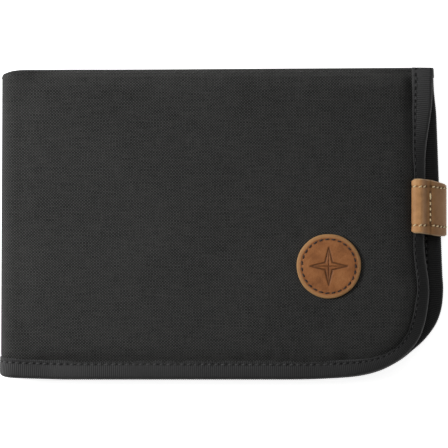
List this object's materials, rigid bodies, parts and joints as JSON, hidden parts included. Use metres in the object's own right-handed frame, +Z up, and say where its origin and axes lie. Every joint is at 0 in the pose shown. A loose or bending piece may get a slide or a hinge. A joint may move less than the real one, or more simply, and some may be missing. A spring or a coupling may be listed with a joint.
{
  "type": "passport holder wallet",
  "caption": "Closed bifold passport wallet of padded dark canvas with a bound edge, round leather badge, leather edge loop, inner zip pocket and card pockets.",
  "frame": {"origin": "middle of the back cover's flat outer face, on which the closed wallet lies", "axes": "+Z up through the closed wallet, from the back cover to the front cover; +X from the spine to the opening edge; +Y from the bound lower edge to the turned top edge"},
  "size_m": [0.1517, 0.106, 0.0159],
  "materials": {
    "canvas": "woven, matt",
    "lining": "smooth woven, slight sheen",
    "foam": "open-cell padding",
    "tape": "ribbed grosgrain",
    "thread": "matt polyester",
    "tan_thread": "waxed",
    "brown_thread": "waxed",
    "leather": "semi-matt, pale cut edges",
    "zip_cloth": "twill",
    "zip_plastic": "satin",
    "zip_metal": "dark antique nickel"
  },
  "bodies": {
    "back_cover": {"back_shell": "canvas", "back_foam": "foam", "back_lining": "lining", "zip_panel_upper": "canvas", "zip_panel_lower": "canvas", "zip_tape_upper": "zip_cloth", "zip_tape_lower": "zip_cloth", "zip_coil_upper": "zip_plastic", "zip_coil_lower": "zip_plastic", "zip_stops": "zip_metal", "card_pocket_rear": "canvas", "card_pocket_front": "canvas", "back_binding": "tape", "back_binding_thread": "thread", "back_top_thread": "thread"},
    "spine": {"spine_shell": "canvas", "spine_lining": "lining", "spine_binding": "tape"},
    "front_cover": {"front_shell": "canvas", "front_foam": "foam", "front_lining": "lining", "passport_pocket": "canvas", "front_binding": "tape", "front_binding_thread": "thread", "front_top_thread": "thread", "badge": "leather", "badge_thread": "brown_thread", "loop_sleeve": "leather", "loop_sleeve_thread": "tan_thread"},
    "loop_flap": {"loop_tail": "leather", "loop_tail_thread": "tan_thread"},
    "slider": {"zip_slider": "zip_metal"},
    "pull": {"zip_puller": "zip_metal", "zip_pull_tab": "leather"}
  },
  "joints": [
    {"name": "spine_fold", "type": "hinge", "parent": "back_cover", "child": "spine", "pos_m": [-0.07394, 0, 0.00146], "axis": [0, -1, 0], "range_deg": [0, 90]},
    {"name": "front_fold", "type": "hinge", "parent": "spine", "child": "front_cover", "pos_m": [-0.07394, 0, 0.01284], "axis": [0, -1, 0], "range_deg": [0, 90]},
    {"name": "loop_flex", "type": "hinge", "parent": "front_cover", "child": "loop_flap", "pos_m": [0.0707, 0.0054, 0.011], "axis": [0, -1, 0], "range_deg": [0, 85]},
    {"name": "zip_slide", "type": "slide", "parent": "back_cover", "child": "slider", "axis": [-1, 0, 0], "range_m": [0, 0.09]},
    {"name": "pull_swing", "type": "hinge", "parent": "slider", "child": "pull", "pos_m": [0.046, 0.031, 0.00588], "axis": [0, 0, 1], "range_deg": [-45, 45]}
  ],
  "couplings": [
    {"joint": "front_fold", "follows": "spine_fold", "ratio": 1}
  ]
}
